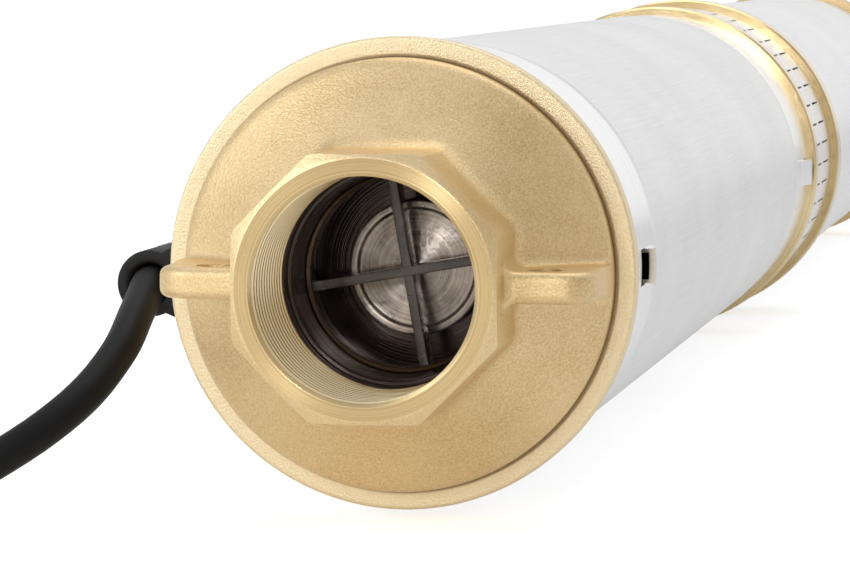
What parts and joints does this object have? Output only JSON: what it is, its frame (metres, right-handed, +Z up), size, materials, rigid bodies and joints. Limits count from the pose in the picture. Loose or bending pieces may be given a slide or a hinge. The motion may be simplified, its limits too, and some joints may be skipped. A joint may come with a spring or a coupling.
{
  "type": "borehole submersible pump",
  "caption": "Slim multistage borehole pump with a cast brass outlet head, stainless sleeve, inlet strainer, wet-end motor and a black lead along its side.",
  "frame": {"origin": "centre of the outlet thread's mouth, on the pump axis", "axes": "+Y along the pump from the outlet to the motor, +Z up with the pump lying on its side, the cable on the -X side"},
  "size_m": [0.2418, 0.9458, 0.1],
  "materials": {
    "cast_brass": "fine cast grain with turned faces",
    "stainless": "satin brushed along the length",
    "motor_casting": "machined casting",
    "valve_plastic": "glossy dark brown moulding",
    "stage_plastic": "black glass-filled plastic",
    "impeller_plastic": "ivory engineering plastic",
    "shaft_steel": "ground stainless steel",
    "black_rubber": "satin moulded rubber",
    "cable_jacket": "smooth extruded jacket",
    "core_steel": "stacked sheet steel",
    "copper_winding": "varnished copper wire",
    "seal_carbon": "lapped carbon"
  },
  "bodies": {
    "casing": {"discharge_head": "cast_brass", "suction_bracket": "cast_brass", "base_cap": "cast_brass", "pump_sleeve": "stainless", "motor_shell": "stainless", "suction_strainer": "stainless", "cable_guard": "stainless", "motor_flange": "motor_casting", "lower_shield": "motor_casting", "thrust_carrier": "motor_casting", "valve_cage": "valve_plastic", "valve_seat": "valve_plastic", "upper_bearing_carrier": "stage_plastic", "diffuser_1": "stage_plastic", "diffuser_2": "stage_plastic", "diffuser_3": "stage_plastic", "diffuser_4": "stage_plastic", "diffuser_5": "stage_plastic", "diffuser_6": "stage_plastic", "diffuser_7": "stage_plastic", "valve_circlip": "shaft_steel", "flange_studs": "shaft_steel", "upper_motor_bearing": "shaft_steel", "lower_motor_bearing": "shaft_steel", "guard_screws": "shaft_steel", "head_oring": "black_rubber", "upper_bush": "black_rubber", "lower_bush": "black_rubber", "diaphragm": "black_rubber", "cable_holder": "black_rubber", "lead_gland": "black_rubber", "motor_lead": "cable_jacket", "supply_cable": "cable_jacket", "cable_coil": "cable_jacket", "cable_tail": "cable_jacket", "stator_core": "core_steel", "stator_winding": "copper_winding", "seal_seat": "seal_carbon", "thrust_pads": "seal_carbon"},
    "rotor": {"upper_shaft_sleeve": "shaft_steel", "pump_shaft": "shaft_steel", "lower_shaft_sleeve": "shaft_steel", "shaft_coupling": "shaft_steel", "sand_slinger": "black_rubber", "seal_ring": "seal_carbon", "rotor_core": "core_steel", "motor_shaft": "shaft_steel", "upper_motor_race": "shaft_steel", "lower_motor_race": "shaft_steel", "thrust_runner": "shaft_steel", "impeller_1": "impeller_plastic", "impeller_2": "impeller_plastic", "impeller_3": "impeller_plastic", "impeller_4": "impeller_plastic", "impeller_5": "impeller_plastic", "impeller_6": "impeller_plastic", "impeller_7": "impeller_plastic"},
    "poppet": {"valve_poppet": "valve_plastic", "valve_seal": "black_rubber"}
  },
  "joints": [
    {"name": "shaft_spin", "type": "hinge", "parent": "casing", "child": "rotor", "pos_m": [0, 0.5, 0], "axis": [0, 1, 0], "continuous": true},
    {"name": "valve_lift", "type": "slide", "parent": "casing", "child": "poppet", "axis": [0, -1, 0], "range_m": [0, 0.0036]}
  ]
}
